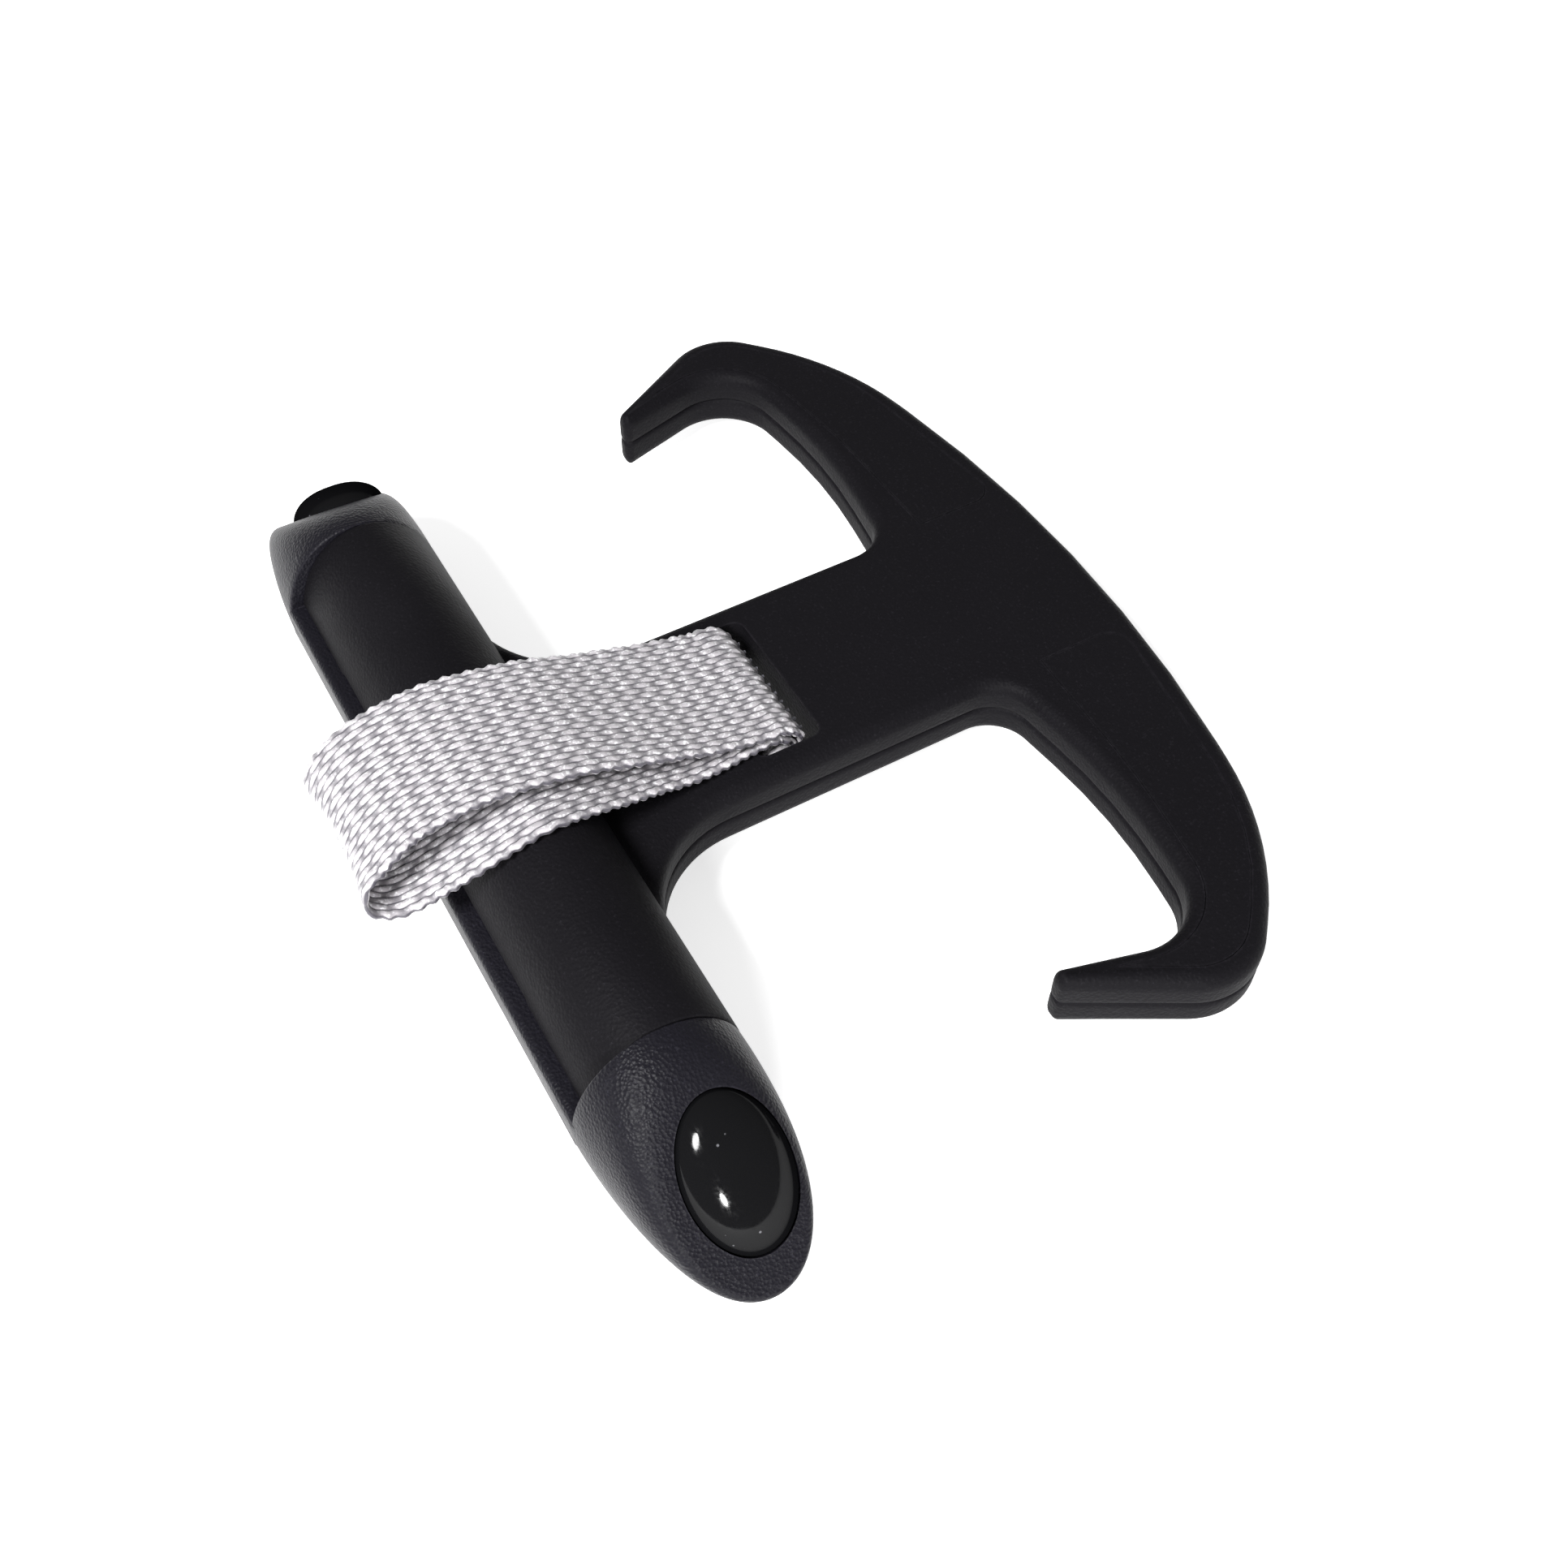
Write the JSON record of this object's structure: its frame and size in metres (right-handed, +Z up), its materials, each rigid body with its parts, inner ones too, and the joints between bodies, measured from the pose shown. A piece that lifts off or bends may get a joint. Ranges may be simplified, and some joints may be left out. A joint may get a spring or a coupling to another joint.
{
  "type": "line handle",
  "caption": "Oval T-grip handle on a flat stem with an anchor-shaped two-hook plate and a webbing pull loop through a slot in the stem.",
  "frame": {"origin": "middle of the cross grip, on the parting plane of the two shells", "axes": "+X along the stem to the crown of the anchor, +Y along the cross grip, +Z up through the upper shell"},
  "size_m": [0.1042, 0.1348, 0.0312],
  "materials": {
    "body_plastic": "near-black glass-filled nylon, matte with a fine moulded grain",
    "pad_plastic": "near-black matte plastic, flush inlay",
    "bow_plastic": "near-black satin plastic with a leather grain",
    "lens_plastic": "polished black",
    "steel": "stainless steel",
    "webbing": "silver-grey woven polypropylene webbing",
    "thread": "bonded polyester thread"
  },
  "bodies": {
    "handle": {"upper_shell": "body_plastic", "lower_shell": "body_plastic", "left_arm_pad": "pad_plastic", "right_arm_pad": "pad_plastic", "grip_bow": "bow_plastic", "left_lens": "lens_plastic", "right_lens": "lens_plastic", "cap_screws": "steel", "plate_screws": "steel", "grip_screws": "steel", "strap_pin": "steel", "strap_eye": "webbing", "strap_stitching": "thread"},
    "strap": {"strap_loop": "webbing"}
  },
  "joints": [
    {"name": "strap_swing", "type": "hinge", "parent": "handle", "child": "strap", "pos_m": [0.0356, 0, 0.0049], "axis": [0, 1, 0], "range_deg": [0, 140]}
  ]
}
